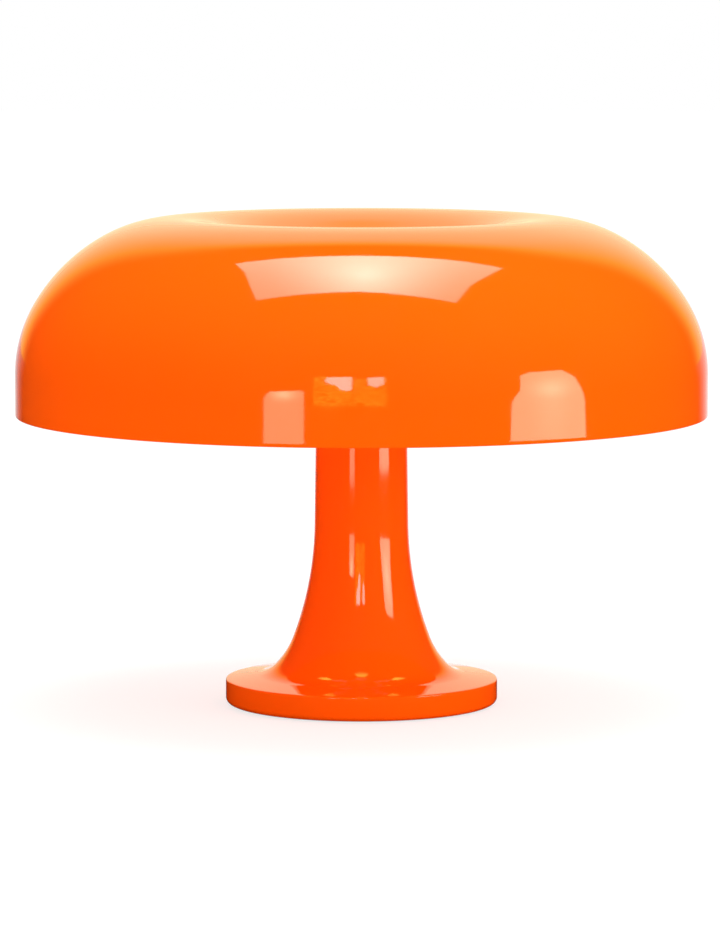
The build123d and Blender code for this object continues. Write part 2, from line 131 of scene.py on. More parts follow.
# Quads join grid points (i, j), (i+1, j), (i+1, j+1), (i, j+1), with the last row or column joined to
# the first where the grid closes on itself.
def gridQuads(rows, columns, closeRows=False, closeColumns=False):
    i, j = np.meshgrid(np.arange(rows if closeRows else rows - 1),
                       np.arange(columns if closeColumns else columns - 1), indexing="ij")
    nextI, nextJ = (i + 1) % rows, (j + 1) % columns
    quads = np.stack([i * columns + j, nextI * columns + j, nextI * columns + nextJ, i * columns + nextJ], -1)
    return quads.reshape(-1, 4)


# Makes a mesh object from grids: each grid is (points, closeRows, closeColumns). Doubles at poles are
# merged, flat leftovers go, and a shell whose signed volume is negative is turned to face outwards.
def surfacePiece(name, grids, material, sharpAngle=35.0):
    allPoints, allQuads, offset = [], [], 0
    for points, closeRows, closeColumns in grids:
        rows, columns = points.shape[:2]
        flat = points.reshape(-1, 3)
        quads = gridQuads(rows, columns, closeRows, closeColumns)
        a, b, c, d = (flat[quads[:, k]] for k in range(4))
        volume = (np.einsum("ij,ij->i", a, np.cross(b, c)) + np.einsum("ij,ij->i", a, np.cross(c, d))).sum()
        if volume < 0:
            quads = quads[:, ::-1]
        allPoints.append(flat)
        allQuads.append(quads + offset)
        offset += len(flat)
    points, quads = np.concatenate(allPoints), np.concatenate(allQuads)
    mesh = bpy.data.meshes.new(name)
    mesh.from_pydata(points, [], quads)
    work = bmesh.new()
    work.from_mesh(mesh)
    bmesh.ops.remove_doubles(work, verts=work.verts, dist=mergeDistance)
    bmesh.ops.dissolve_degenerate(work, edges=work.edges, dist=sliverLength)
    work.to_mesh(mesh)
    work.free()
    mesh.polygons.foreach_set("use_smooth", np.ones(len(mesh.polygons), bool))
    mesh.set_sharp_from_angle(angle=math.radians(sharpAngle))
    mesh.materials.append(material)
    piece = bpy.data.objects.new(name, mesh)
    scene.collection.objects.link(piece)
    return piece


# Each outline point (r, z) goes round Z: x = r cos a, y = r sin a, z = z.
def turnedZ(outline, around=96):
    angle = np.linspace(0, 2 * math.pi, around, endpoint=False)[:, None]
    r, z = outline[None, :, 0], outline[None, :, 1]
    return np.stack([r * np.cos(angle), r * np.sin(angle), np.broadcast_to(z, (around, len(outline)))], -1)


# Each outline point (s, r) goes round X: x = s, y = r cos a, z = r sin a.
def turnedX(outline, around=64):
    points = turnedZ(outline[:, ::-1], around)
    return points[..., [2, 0, 1]]


# Ring k is a circle of the corner's radius whose four quarters are pushed out along the diagonals by half
# the width less that radius: x = +-(half - corner) + corner cos a, y = +-(half - corner) + corner sin a.
def squareTurned(profile, perCorner=9):
    half, corner, z = (profile[:, k, None] for k in range(3))
    quarter = np.repeat(np.arange(4), perCorner)[None]
    angle = math.pi / 2 * quarter + np.tile(np.linspace(0, math.pi / 2, perCorner), 4)[None]
    signX, signY = np.where((quarter == 0) | (quarter == 3), 1, -1), np.where(quarter < 2, 1, -1)
    x = signX * (half - corner) + corner * np.cos(angle)
    y = signY * (half - corner) + corner * np.sin(angle)
    return np.stack([x, y, np.broadcast_to(z, x.shape)], -1)


# A flat plate from its outline (u, v): layer k is the outline drawn in towards its middle by e (1 - cos a)
# at the height +-(thickness/2 - e + e sin a), closed by a point on each face. Returns (layer, u, v, height).
def plateGrid(outline, thickness, edge, layers=4):
    outline = np.asarray(outline, float)
    middle = outline.mean(0)
    away = outline - middle
    length = np.linalg.norm(away, axis=1, keepdims=True)
    angle = np.linspace(0, math.pi / 2, layers)
    inset = np.r_[edge * (1 - np.cos(angle[::-1])), edge * (1 - np.cos(angle))]
    height = thickness / 2 - edge + edge * np.sin(angle)
    height = np.r_[-height[::-1], height]
    rows = middle + away * (1 - inset[:, None, None] / length)
    ends = np.broadcast_to(middle, (1,) + outline.shape)
    flat = np.concatenate([ends, rows, ends])
    height = np.r_[height[0], height, height[-1]]
    return np.concatenate([flat, np.broadcast_to(height[:, None, None], flat.shape[:2] + (1,))], -1)


# A point drawn from the hub's side face along +X turns about Z by the holder's share of a full turn.
def atHolder(points, index):
    x, y, z = points[..., 0] + hubForm["width"] / 2, points[..., 1], points[..., 2] + hubMiddle
    return turned(np.stack([x, y, z], -1), index / holderCount)


def turned(points, share):  # about Z by a share of a full turn
    turn = 2 * math.pi * share
    x, y, z = points[..., 0], points[..., 1], points[..., 2]
    return np.stack([x * math.cos(turn) - y * math.sin(turn), x * math.sin(turn) + y * math.cos(turn), z], -1)


def finishPiece(piece, body, nodes):  # rides on its body and stands for its nodes
    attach(piece, body)
    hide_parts(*nodes)
    return piece


absLook = {
    "colour": "#FF5904",
    "deeper": "#FF5703",
    "flow": 60 * mm,  # size of the pigment's patches
    "waveDepth": 0.004 * mm,
    "specks": 9 * mm,
    "roughness": (0.035, 0.085),  # clean, dusty
    "ior": 1.53,
}


# Injection-moulded ABS, polished mould: a clear, deep gloss with the faintest waviness of the mould, fine
# specks of dust that dull it, and pigment that flows a little unevenly.
def polishedAbs(name, look, waveSize):
    material, tree, output = emptyMaterial(name)
    place = addNode(tree, "TexCoord").outputs["Object"]
    flow = addNode(tree, "TexNoise", {"Vector": place, "Scale": 1 / look["flow"], "Detail": 2.0,
                                      "Roughness": 0.4})
    tint = addNode(tree, "Mix", {"Factor": flow.outputs["Fac"], "A": toLinear(look["colour"]),
                                 "B": toLinear(look["deeper"])}, data_type="RGBA")
    waves = addNode(tree, "TexNoise", {"Vector": place, "Scale": 1 / waveSize, "Detail": 1.0})
    bump = addNode(tree, "Bump", {"Height": waves.outputs["Fac"], "Strength": 1.0,
                                  "Distance": look["waveDepth"]})
    specks = addNode(tree, "TexNoise", {"Vector": place, "Scale": 1 / look["specks"], "Detail": 8.0,
                                        "Roughness": 0.7})
    gloss = addNode(tree, "MapRange", {"Value": specks.outputs["Fac"], "From Min": 0.35, "From Max": 0.8,
                                       "To Min": look["roughness"][0], "To Max": look["roughness"][1]})
    shader = addNode(tree, "BsdfPrincipled", {
        "Base Color": tint.outputs["Result"], "Roughness": gloss.outputs["Result"], "IOR": look["ior"],
        "Normal": bump.outputs["Normal"]})
    tree.links.new(shader.outputs["BSDF"], output.inputs["Surface"])
    return material


patchGrains = 14  # a patch of deeper colour is this many grains wide
edgeRadius = 0.25 * mm  # how far edges look rounded
roughnessSpread = (0.85, 1.2)  # share of the roughness on smooth and on coarse grain


# A plain moulded or plated finish: colour that varies a little, roughness that varies with fine noise,
# and a grain that lifts the surface by a depth at a real grain size.
def mouldedFinish(name, colour, deeper, roughness, grain, depth, metallic=0.0, ior=1.5, sheen=0.0,
                  subsurface=0.0):
    material, tree, output = emptyMaterial(name)
    place = addNode(tree, "TexCoord").outputs["Object"]
    patches = addNode(tree, "TexNoise", {"Vector": place, "Scale": 1 / (patchGrains * grain), "Detail": 3.0})
    tint = addNode(tree, "Mix", {"Factor": patches.outputs["Fac"], "A": toLinear(colour),
                                 "B": toLinear(deeper)}, data_type="RGBA")
    fine = addNode(tree, "TexNoise", {"Vector": place, "Scale": 1 / grain, "Detail": 4.0, "Roughness": 0.6})
    edge = addNode(tree, "Bevel", {"Radius": edgeRadius}, samples=4)
    bump = addNode(tree, "Bump", {"Height": fine.outputs["Fac"], "Strength": 1.0, "Distance": depth,
                                  "Normal": edge.outputs["Normal"]})
    gloss = addNode(tree, "MapRange", {"Value": fine.outputs["Fac"], "From Min": 0.3, "From Max": 0.7,
                                       "To Min": roughness * roughnessSpread[0],
                                       "To Max": roughness * roughnessSpread[1]})
    shader = addNode(tree, "BsdfPrincipled", {
        "Base Color": tint.outputs["Result"], "Roughness": gloss.outputs["Result"], "Metallic": metallic,
        "IOR": ior, "Normal": bump.outputs["Normal"], "Sheen Weight": sheen, "Subsurface Weight": subsurface,
        "Subsurface Scale": 2 * mm})
    tree.links.new(shader.outputs["BSDF"], output.inputs["Surface"])
    return material


glassLook = {
    "colour": "#F6F3EA",
    "deeper": "#F2EEE4",
    "clouds": 12 * mm,
    "grain": 0.8 * mm,
    "grainDepth": 0.002 * mm,
    "warmth": "#FFDDA8",
    "seenGlow": 0.25,  # a warm breath of light, so that the glass keeps its milky look
    "castGlow": 3.0,
    "mirrorWarmth": "#FFB040",
    "mirrorGlow": 12.0,
    "litReach": (70 * mm, 80 * mm),  # from the lamp's middle, the mirrored glow ends between these
}


# Opal glass of a lit bulb: milky and satin-smooth, with a faint warm glow from within. What it lights and its
# mirror in the plastic are far brighter than the glow a picture shows, so only camera rays meet the faint
# one, and glossy rays meet the filament's own, on the half of the ball that is turned to the cap.
def opalGlass(name, look):
    material, tree, output = emptyMaterial(name)
    place = addNode(tree, "TexCoord").outputs["Object"]
    clouds = addNode(tree, "TexNoise", {"Vector": place, "Scale": 1 / look["clouds"], "Detail": 2.0})
    tint = addNode(tree, "Mix", {"Factor": clouds.outputs["Fac"], "A": toLinear(look["colour"]),
                                 "B": toLinear(look["deeper"])}, data_type="RGBA")
    satin = addNode(tree, "TexNoise", {"Vector": place, "Scale": 1 / look["grain"], "Detail": 2.0})
    bump = addNode(tree, "Bump", {"Height": satin.outputs["Fac"], "Strength": 1.0,
                                  "Distance": look["grainDepth"]})
    shader = addNode(tree, "BsdfPrincipled", {
        "Base Color": tint.outputs["Result"], "Roughness": 0.22, "IOR": 1.52, "Subsurface Weight": 0.3,
        "Subsurface Scale": 2 * mm, "Normal": bump.outputs["Normal"],
        "Emission Color": toLinear(look["warmth"]), "Emission Strength": look["seenGlow"]})
    fromMiddle = addNode(tree, "VectorMath", {0: place, 1: (1, 1, 0)}, operation="MULTIPLY")
    reach = addNode(tree, "VectorMath", {0: fromMiddle.outputs[0]}, operation="LENGTH")
    lit = addNode(tree, "MapRange", {"Value": reach.outputs["Value"], "From Min": look["litReach"][0],
                                     "From Max": look["litReach"][1], "To Min": look["mirrorGlow"],
                                     "To Max": 0.0})
    mirrored = addNode(tree, "Emission", {"Color": toLinear(look["mirrorWarmth"]),
                                          "Strength": lit.outputs["Result"]})
    cast = addNode(tree, "Emission", {"Color": toLinear(look["warmth"]), "Strength": look["castGlow"]})
    rays = addNode(tree, "LightPath")
    unseen = addNode(tree, "MixShader", {0: rays.outputs["Is Glossy Ray"], 1: cast.outputs["Emission"],
                                         2: mirrored.outputs["Emission"]})
    seen = addNode(tree, "MixShader", {0: rays.outputs["Is Camera Ray"], 1: unseen.outputs[0],
                                       2: shader.outputs["BSDF"]})
    tree.links.new(seen.outputs[0], output.inputs["Surface"])
    return material


orangeShade = polishedAbs("polished orange ABS shade", absLook, 24 * mm)
orangeColumn = polishedAbs("polished orange ABS column", absLook, 20 * mm)
# What each gives the eye: urea and polyamide a soft satin with a faint moulding grain, nickel a clean pale
# shine, brass and bronze the warm streaked look of drawn and rolled metal, zinc a dull cool grey, powder coat
# a fine black orange peel, cast iron a dark coarse sand grain, felt a deep nap with a sheen, silicone a milky
# skin, rubber a matt black, the sleeve a smooth brown, black glass a wet shine, solder a dull lumpy grey.
# The values are name, colour, deeper colour, roughness, grain size, grain depth.
finishes = {
    "white urea": mouldedFinish("moulded white urea resin", "#E9E6DD", "#E2DED3", 0.38, 0.6 * mm, 0.01 * mm),
    "block polyamide": mouldedFinish("moulded polyamide", "#DCD8C8", "#D3CEBC", 0.45, 0.5 * mm, 0.01 * mm),
    "opal glass": opalGlass("satin opal glass", glassLook),
    "nickel": mouldedFinish("nickel-plated brass", "#C9C5BC", "#BDB8AE", 0.24, 0.5 * mm, 0.004 * mm,
                            metallic=1.0),
    "brass": mouldedFinish("drawn brass", "#C9A35A", "#B98F48", 0.30, 0.5 * mm, 0.006 * mm, metallic=1.0),
    "bronze": mouldedFinish("rolled spring bronze", "#B47A48", "#A66D3E", 0.32, 0.4 * mm, 0.004 * mm,
                            metallic=1.0),
    "zinc": mouldedFinish("zinc-plated steel", "#B8B9BA", "#A9ABAE", 0.36, 0.5 * mm, 0.006 * mm,
                          metallic=1.0),
    "black powder": mouldedFinish("black powder coat", "#18181A", "#1D1D1F", 0.55, 0.35 * mm, 0.03 * mm),
    "cast iron": mouldedFinish("sand-cast iron", "#3A3A3C", "#2F2F31", 0.62, 1.2 * mm, 0.12 * mm,
                               metallic=0.85),
    "felt": mouldedFinish("pressed grey felt", "#2C2C2F", "#353538", 0.95, 0.5 * mm, 0.18 * mm, sheen=0.4),
    "silicone": mouldedFinish("translucent silicone rubber", "#D9D9D3", "#D2D2CB", 0.42, 0.6 * mm,
                              0.006 * mm, ior=1.41, subsurface=0.25),
    "rubber": mouldedFinish("black moulded rubber", "#101011", "#151516", 0.6, 0.4 * mm, 0.012 * mm),
    "sleeve": mouldedFinish("smooth PVC sleeve", "#4A2A18", "#44260F", 0.4, 0.6 * mm, 0.004 * mm),
    "black glass": mouldedFinish("black glass insulator", "#0B0B0D", "#101012", 0.08, 0.8 * mm, 0.002 * mm,
                                 ior=1.52),
    "solder": mouldedFinish("soft solder", "#8F9092", "#7E8084", 0.42, 0.5 * mm, 0.03 * mm, metallic=1.0),
}
print("materials made")


shadeForm = {
    "radius": 160 * mm,
    "wall": 2.8 * mm,
    "rimHeight": 19.1 * mm,  # straight wall above the rim
    "shoulder": [(64 * mm, 30), (84 * mm, 31), (68 * mm, 29)],  # straight wall to crest
    "dishTurn": (70 * mm, 22),
    "dishSide": 20 * mm,
    "floorTurn": (50 * mm, -22),
    "rimEdge": 0.8 * mm,
    "socketRadius": 13.3 * mm,  # bore of the ring under the dish's floor
    "socketWall": 2.7 * mm,
    "socketDrop": 22.77 * mm,
    "gussets": 8,
    "gussetLength": 13 * mm,
    "gussetThickness": 2 * mm,
    "gussetStep": 3 * mm,  # above the ring's end
    "gussetRoot": 1 * mm,
    "gussetCorner": 0.6 * mm,
    "gussetEdge": 0.4 * mm,
    "socketCorner": 0.5 * mm,
    "outerStep": 1.5,  # degrees between rows
    "innerStep": 2.5,
    "innerRow": 3 * mm,  # between rows where the wall is straight
    "floorRows": 14,
    "around": 320,
}


# The wall's two outlines run beside each other up the side, over the crest and down into the dish, and the
# inner one goes on round the ring that the spigot fits in.
def shadeOutline(form, rim):
    steps = [form["rimHeight"], *form["shoulder"], form["dishTurn"], form["dishSide"], form["floorTurn"]]
    outer = pathPoints((form["radius"], rim), 90, steps, form["outerStep"])
    inner = pathPoints((form["radius"] - form["wall"], rim), 90, beside(steps, form["wall"]),
                       form["innerStep"], form["innerRow"])
    floorTop, floorUnder = outer[-1, 1], inner[-1, 1]
    floorRows = np.linspace(outer[-1, 0], 0, form["floorRows"])[1:, None]
    outer = np.r_[outer, np.c_[floorRows, np.full_like(floorRows, floorTop)]]
    ringIn, ringOut = form["socketRadius"], form["socketRadius"] + form["socketWall"]
    ringLow = floorUnder - form["socketDrop"]
    ring = softCorners([(inner[-1, 0], floorUnder), (ringOut, floorUnder), (ringOut, ringLow),
                        (ringIn, ringLow), (ringIn, floorUnder), (0, floorUnder)], form["socketCorner"])
    rimCorners = softCorners([inner[1], inner[0], outer[0], outer[1]], form["rimEdge"], 6)
    return np.r_[ring[::-1], inner[1:-1][::-1], rimCorners[1:-1], outer[1:]], floorUnder, ringLow, ringOut


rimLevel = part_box("shade")[0][2]
shadeLine, dishUnder, socketLow, socketOuter = shadeOutline(shadeForm, rimLevel)


# A plate from the ring to the dish's underside, drawn as (radius, height) and turned round Z in equal steps.
def gussetGrids(form):
    start, root = socketOuter - form["socketWall"] / 2, socketOuter + form["gussetRoot"]
    end = socketOuter + form["gussetLength"]
    low, high = socketLow + form["gussetStep"], dishUnder + form["wall"] / 2
    outline = softCorners([(start, low), (root, low), (end, dishUnder), (end, high), (start, high)],
                          form["gussetCorner"], 4, True)
    plate = plateGrid(outline, form["gussetThickness"], form["gussetEdge"])[..., [0, 2, 1]]
    return [(turned(plate, (k + 0.5) / form["gussets"]), False, True) for k in range(form["gussets"])]


shade = surfacePiece("shadeShell", [(turnedZ(shadeLine, shadeForm["around"]), True, False),
                                    *gussetGrids(shadeForm)], orangeShade)
finishPiece(shade, "shade", ["shade"])
print("shade made")


columnForm = {
    "radius": 20.95 * mm,  # at the top of the column
    "top": 148 * mm,
    "draft": 0.8,  # degrees
    "wall": 3 * mm,
    "lid": 4 * mm,
    "flare": [(155 * mm, 20), (38 * mm, 22.5)],
    "footTurn": 15.6 * mm,  # radius of the flare's last turn, into the foot
    "footRadius": 63.1 * mm,
    "footHeight": 11.8 * mm,
    "footSlope": 7.5,  # degrees
    "topEdge": 0.7 * mm,
    "bottomEdge": 2.6 * mm,
    "lift": 0.5 * mm,
    "lidEdge": 0.5 * mm,
    "tubeHole": 5.2 * mm,
    "outerStep": 1.5,  # degrees between rows
    "innerStep": 4.0,
    "around": 240,
    "bossCircle": 42.5 * mm,  # screw bosses inside the foot
    "bossRadius": 4 * mm,
    "bossHole": 1.6 * mm,
    "bossSpan": (3.2 * mm, 14 * mm),
    "bossEdge": 0.3 * mm,
    "bossAround": 32,
    "bosses": 3,
    "bossStart": 30,  # degrees from +X
}


# The column's straight draft and the foot's slope are as long as it takes for the turns between them to
# meet both: two straight lines and the turns' travel add up to the column's height and the foot's width.
def columnPath(form, inset, arcStep):
    turn = 90 - form["draft"] - form["footSlope"] - sum(t for _, t in form["flare"])
    turns = [*form["flare"], (form["footTurn"], turn)]
    angles = np.radians(form["draft"] + np.cumsum([0] + [t for _, t in turns]))
    radii = np.array([r for r, _ in turns])
    across = (radii * -np.diff(np.cos(angles))).sum()
    along = (radii * np.diff(np.sin(angles))).sum()
    draft, slope = math.tan(math.radians(form["draft"])), math.tan(math.radians(form["footSlope"]))
    out, down = form["footRadius"] - form["radius"], form["top"] - form["footHeight"]
    slopeOut = (out - across - draft * (down - along)) / (1 - draft * slope)
    straight = (down - along - slopeOut * slope) / math.cos(math.radians(form["draft"]))
    steps = [straight, *turns, slopeOut / math.cos(math.radians(form["footSlope"]))]
    heading = form["draft"] - 90
    start = aside((form["radius"], form["top"]), heading, -inset)
    return pathPoints(start, heading, beside(steps, -inset), arcStep)


# The outer path, the foot's side and bottom edge, the inner path back up, and the lid with the tube's hole.
def columnOutline(form):
    outer = columnPath(form, 0, form["outerStep"])
    foot, low = form["footRadius"], form["lift"]
    side = softCorners([outer[-2], (foot, form["footHeight"]), (foot, low + form["bottomEdge"])],
                       form["topEdge"], 6)
    inner = columnPath(form, form["wall"], form["innerStep"])
    bottom = pathPoints((foot, low + form["bottomEdge"]), -90, [(form["bottomEdge"], -90)], 8)
    innerFoot = foot - form["wall"] + 0.01 * mm
    lidLow = form["top"] - form["lid"]
    inner = inner[inner[:, 1] < lidLow]
    lid = softCorners([(inner[0, 0], inner[0, 1]), (inner[0, 0], lidLow), (form["tubeHole"], lidLow),
                       (form["tubeHole"], form["top"]), (form["radius"], form["top"]), outer[1]],
                      form["lidEdge"])
    underside = np.array([(innerFoot, low), (innerFoot, inner[-1, 1])])
    return np.r_[outer[1:-1], side[1:], bottom[1:], underside, inner[::-1], lid[1:-1]]


def bossGrids(form):  # a tube round each screw, turned round Z in equal steps
    low, high = form["bossSpan"]
    outline = softCorners([(form["bossHole"], low), (form["bossRadius"], low), (form["bossRadius"], high),
                           (form["bossHole"], high)], form["bossEdge"], 3, True)
    boss = turnedZ(outline, form["bossAround"]) + np.array([form["bossCircle"], 0, 0])
    start = form["bossStart"] / 360
    return [(turned(boss, start + k / form["bosses"]), True, True) for k in range(form["bosses"])]


columnGrid = turnedZ(columnOutline(columnForm), columnForm["around"])
column = surfacePiece("columnAndFoot", [(columnGrid, True, True), *bossGrids(columnForm)], orangeColumn)
finishPiece(column, "lamp_body", ["column_foot"])
print("column made")

hubForm = {
    "width": 34 * mm,
    "height": 32 * mm,
    "wall": 2 * mm,
    "corner": 5 * mm,
    "edge": 0.7 * mm,
    "hole": 5.2 * mm,
}
hubMiddle = columnForm["top"] + hubForm["height"] / 2


# Profile of the open box: outer wall up, rim, inner wall down, then the floor in to the tube's round hole.
def hubProfile(form):
    low, high = columnForm["top"], columnForm["top"] + form["height"]
    half, corner, wall, hole = form["width"] / 2, form["corner"], form["wall"], form["hole"]
    return softCorners([(half, corner, low), (half, corner, high), (half - wall, corner - wall, high),
                        (half - wall, corner - wall, low + wall), (hole, hole, low + wall),
                        (hole, hole, low)], form["edge"], 6, True)


hub = surfacePiece("lampHub", [(squareTurned(hubProfile(hubForm)), True, True)], finishes["white urea"])
finishPiece(hub, "lamp_body", ["lamp_hub"])

ringForm = {"inner": 13.3 * mm, "width": 2 * mm, "low": 183 * mm, "height": 1 * mm, "edge": 0.35 * mm,
            "around": 96}
feltForm = {"inner": 48 * mm, "width": 9.5 * mm, "low": 0.0, "height": 1.6 * mm, "edge": 0.5 * mm,
            "around": 256}


def flatRing(form):  # a washer with round edges
    inner, outer = form["inner"], form["inner"] + form["width"]
    low, high = form["low"], form["low"] + form["height"]
    outline = softCorners([(inner, low), (outer, low), (outer, high), (inner, high)], form["edge"], 6, True)
    return turnedZ(outline, form["around"])


seatRing = surfacePiece("seatRing", [(flatRing(ringForm), True, True)], finishes["silicone"])
finishPiece(seatRing, "lamp_body", ["seat_ring"])
footFelt = surfacePiece("footFelt", [(flatRing(feltForm), True, True)], finishes["felt"])
finishPiece(footFelt, "lamp_body", ["foot_felt"])

bushForm = {
    "bore": 2.6 * mm,
    "body": 3.4 * mm,
    "flange": 4.3 * mm,
    "start": 60.2 * mm,  # along Y
    "flangeStart": 63.2 * mm,
    "end": 64.4 * mm,
    "height": 6.185 * mm,
    "edge": 0.5 * mm,
    "around": 64,
}


# The bush's outline (s, r) turns about X and is laid along Y: x = r cos a, y = s, z = height + r sin a.
def bushGrid(form):
    start, step, end = form["start"], form["flangeStart"], form["end"]
    outline = softCorners([(start, form["bore"]), (start, form["body"]), (step, form["body"]),
                           (step, form["flange"]), (end, form["flange"]), (end, form["bore"])],
                          form["edge"], 5, True)
    return turnedX(outline, form["around"])[..., [1, 0, 2]] + np.array([0, 0, form["height"]])


cordBush = surfacePiece("cordBush", [(bushGrid(bushForm), True, True)], finishes["rubber"])
finishPiece(cordBush, "lamp_body", ["cord_bush"])
print("hub and foot parts made")

holderForm = {
    "radius": 11.5 * mm,
    "length": 30 * mm,
    "neck": (7.6 * mm, 4.5 * mm),  # radius, length
    "cone": 5.5 * mm,
    "bore": (5.05 * mm, 8 * mm),  # radius, depth of the tube's seat
    "cavity": (7.75 * mm, 10.5 * mm),  # radius, where it starts
    "grooves": (13 * mm, 24 * mm),
    "groove": (1.6 * mm, 0.5 * mm),  # width, depth
    "edge": 1.2 * mm,
    "corner": 0.35 * mm,
    "flutes": 40,
    "fluteDepth": 0.22 * mm,
    "fluteSpan": (15.3 * mm, 23.3 * mm),
    "fluteFade": 1.2 * mm,  # length over which a flute reaches its depth
    "fluteRows": 17,
    "fluteSteps": 6,
}


# The holder's outline (s, r) turned about X. Between the grooves the radius loses a flute, depth times
# (1 - cos(n a)) / 2, under a window that rises and falls smoothly along s.
def holderGrid(form):
    r, length, (neck, neckLength) = form["radius"], form["length"], form["neck"]
    (bore, boreEnd), (cavity, cavityStart), (width, depth) = form["bore"], form["cavity"], form["groove"]
    line = [(boreEnd, 0), (boreEnd, bore), (0, bore), (0, neck), (neckLength, neck),
            (neckLength + form["cone"], r)]
    for start in form["grooves"]:
        line += [(start, r), (start + depth, r - depth), (start + width - depth, r - depth),
                 (start + width, r)]
        if start == form["grooves"][0]:
            line += [(s, r) for s in np.linspace(*form["fluteSpan"], form["fluteRows"])]
    line += [(length - form["edge"], r), (length, r - form["edge"]), (length, cavity), (cavityStart, cavity),
             (cavityStart, 0)]
    outline = softCorners(line, form["corner"], 3)
    angle = np.linspace(0, 2 * math.pi, form["flutes"] * form["fluteSteps"], endpoint=False)[:, None]
    s, radius = outline[None, :, 0], outline[None, :, 1]
    first, last = form["fluteSpan"]
    window = np.clip(np.minimum(s - first, last - s) / form["fluteFade"], 0, 1)
    window = window * window * (3 - 2 * window) * (radius > r - 0.01 * mm)
    radius = radius - form["fluteDepth"] * window * (1 - np.cos(form["flutes"] * angle)) / 2
    return np.stack([np.broadcast_to(s, radius.shape), radius * np.cos(angle), radius * np.sin(angle)], -1)


threadForm = {
    "pitch": 2.82 * mm,
    "shellInner": 7.15 * mm,
    "shellOuter": 7.65 * mm,
    "shellSpan": (12.5 * mm, 28.5 * mm),
    "sheet": 0.3 * mm,
    "capRadius": 6.9 * mm,
    "capDepth": 0.62 * mm,
    "turnSteps": 72,
    "rowStep": 0.22 * mm,
}


# Rolled thread: the wall's radius falls by depth (1 - cos(2 pi s / pitch - a)) / 2, where s runs along the
# axis and a round it.
def threadWave(form, s, angle, depth):
    return depth * (1 - np.cos(2 * math.pi * s / form["pitch"] - angle)) / 2


# Rows run up the shell's outside and back down its inside, both on the wave of the thread.
def threadShellGrid(form):
    first, last = form["shellSpan"]
    s = np.linspace(first, last, int((last - first) / form["rowStep"]))
    room = form["shellOuter"] - form["shellInner"] - form["sheet"]
    rows = np.r_[s, s[::-1]][None]
    angle = np.linspace(0, 2 * math.pi, form["turnSteps"], endpoint=False)[:, None]
    outside = np.r_[np.ones(len(s)), np.zeros(len(s))][None]
    radius = form["shellOuter"] - form["sheet"] * (1 - outside) - threadWave(form, rows, angle, room)
    return np.stack([np.broadcast_to(rows, radius.shape), radius * np.cos(angle), radius * np.sin(angle)], -1)


bulbForm = {
    "seat": 14.5 * mm,  # the contact's face
    "button": (2.4 * mm, 1.2 * mm, 0.5 * mm),  # radius, height, edge
    "insulator": (3.4 * mm, 5.1 * mm, 2.4 * mm),  # radius at the button, at the cap, height
    "capStart": 18.1 * mm,
    "capEdge": 1.6 * mm,
    "capLength": 15.5 * mm,
    "collar": (8.6 * mm, 4.5 * mm, 1.5 * mm, 2.5 * mm),  # radius, length, flare, depth of its pocket
    "collarEdge": 0.7 * mm,
    "footEdge": 0.5 * mm,
    "threadMargin": 0.2 * mm,  # plain wall at both ends of the thread
    "neckRadius": 8 * mm,
    "neckGap": 0.05 * mm,
    "neckSink": 0.2 * mm,  # the neck ends this far above the pocket's floor
    "neckEdge": 0.4 * mm,
    "neckHeading": 12,  # degrees
    "shoulder": 40,
    "ball": 22.5 * mm,
    "glass": 1 * mm,
    "outerStep": 2.5,  # degrees between rows
    "innerStep": 4,
    "around": 96,
    "buttonSink": 0.1 * mm,
    "lip": 0.3 * mm,  # width and height of the insulator's lip round the button
    "lipEdge": 0.4 * mm,
    "buttonAround": 48,
    "insulatorAround": 64,
}


# The cap's outline runs up its foot, the threaded wall, the flared collar and down into the glass's pocket.
def capGrid(form, thread):
    start, radius = form["capStart"], thread["capRadius"]
    threadEnd = start + form["capLength"]
    collar, collarLength, flare, pocket = form["collar"]
    end = threadEnd + collarLength
    margin, neck = form["threadMargin"], form["neckRadius"] + form["neckGap"]
    rows = np.arange(start + form["capEdge"] + margin, threadEnd - margin, thread["rowStep"])
    wall = [(s, radius) for s in rows]
    rim = softCorners([wall[-1], (threadEnd, radius), (threadEnd + flare, collar), (end, collar), (end, neck),
                       (end - pocket, neck), (end - pocket, 0)], form["collarEdge"], 6)
    foot = softCorners([(start, 0), (start, radius - form["capEdge"]), (start + form["capEdge"], radius),
                        wall[0]], form["footEdge"], 5)
    outline = np.r_[foot, wall[1:], rim[1:]]
    angle = np.linspace(0, 2 * math.pi, thread["turnSteps"], endpoint=False)[:, None]
    s, r = outline[None, :, 0], outline[None, :, 1]
    fade = np.clip(np.minimum(s - wall[0][0], wall[-1][0] - s) / thread["pitch"] * 2, 0, 1) * (r == radius)
    r = r - fade * threadWave(thread, s, angle, thread["capDepth"])
    return np.stack([np.broadcast_to(s, r.shape), r * np.cos(angle), r * np.sin(angle)], -1)


